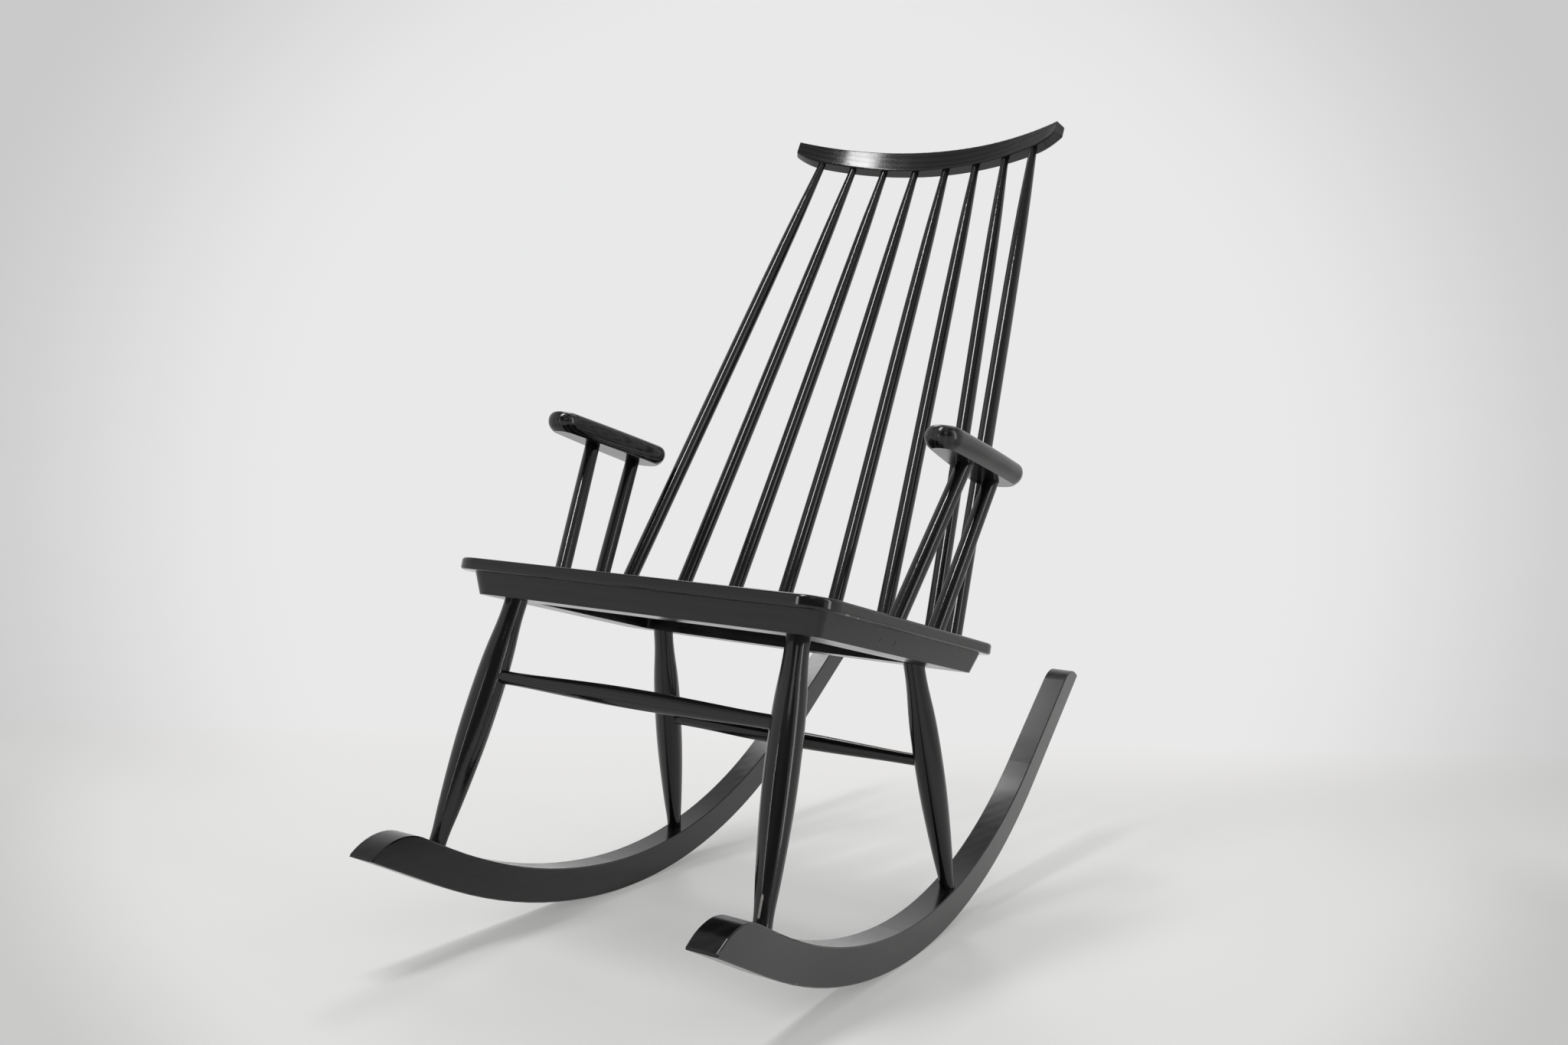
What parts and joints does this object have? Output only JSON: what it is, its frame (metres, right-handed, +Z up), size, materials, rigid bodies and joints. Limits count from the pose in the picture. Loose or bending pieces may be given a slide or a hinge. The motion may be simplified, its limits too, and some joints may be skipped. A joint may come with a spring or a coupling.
{
  "type": "rocking chair",
  "caption": "Rocking chair with a tall fanned spindle back under a curved crest rail, short armrests on slanted posts, a flat seat panel, turned legs and long curved rockers.",
  "frame": {"origin": "on the floor, at the middle of the chair's width and of its depth in the pose in which the empty chair stands still on its rockers", "axes": "+Z up, -Y towards the chair's front, +X towards the sitter's left"},
  "size_m": [0.551, 1.0444, 1.0396],
  "materials": {
    "seat_lacquer": "satin black lacquer",
    "frame_lacquer": "satin black lacquer",
    "leg_lacquer": "satin black lacquer",
    "stretcher_lacquer": "satin black lacquer",
    "spindle_lacquer": "satin black lacquer",
    "post_lacquer": "satin black lacquer",
    "arm_lacquer": "satin black lacquer",
    "crest_lacquer": "satin black lacquer",
    "rocker_lacquer": "satin black lacquer",
    "pin_wood": "satin black lacquer",
    "tongue_wood": "bare hardwood"
  },
  "bodies": {
    "root": {"seat_panel": "seat_lacquer", "seat_frame_front": "frame_lacquer", "seat_frame_rear": "frame_lacquer", "leg_front_left": "leg_lacquer", "leg_front_right": "leg_lacquer", "leg_rear_left": "leg_lacquer", "leg_rear_right": "leg_lacquer", "stretcher_front": "stretcher_lacquer", "stretcher_rear": "stretcher_lacquer", "spindle_left_1": "spindle_lacquer", "spindle_left_2": "spindle_lacquer", "spindle_left_3": "spindle_lacquer", "spindle_left_4": "spindle_lacquer", "spindle_right_1": "spindle_lacquer", "spindle_right_2": "spindle_lacquer", "spindle_right_3": "spindle_lacquer", "spindle_right_4": "spindle_lacquer", "arm_post_front_left": "post_lacquer", "arm_post_front_right": "post_lacquer", "arm_post_rear_left": "post_lacquer", "arm_post_rear_right": "post_lacquer", "armrest_left": "arm_lacquer", "armrest_right": "arm_lacquer", "crest_rail": "crest_lacquer", "rocker_left": "rocker_lacquer", "rocker_right": "rocker_lacquer", "frame_pins": "pin_wood", "frame_tongue_left": "tongue_wood", "frame_tongue_right": "tongue_wood"}
  },
  "joints": []
}
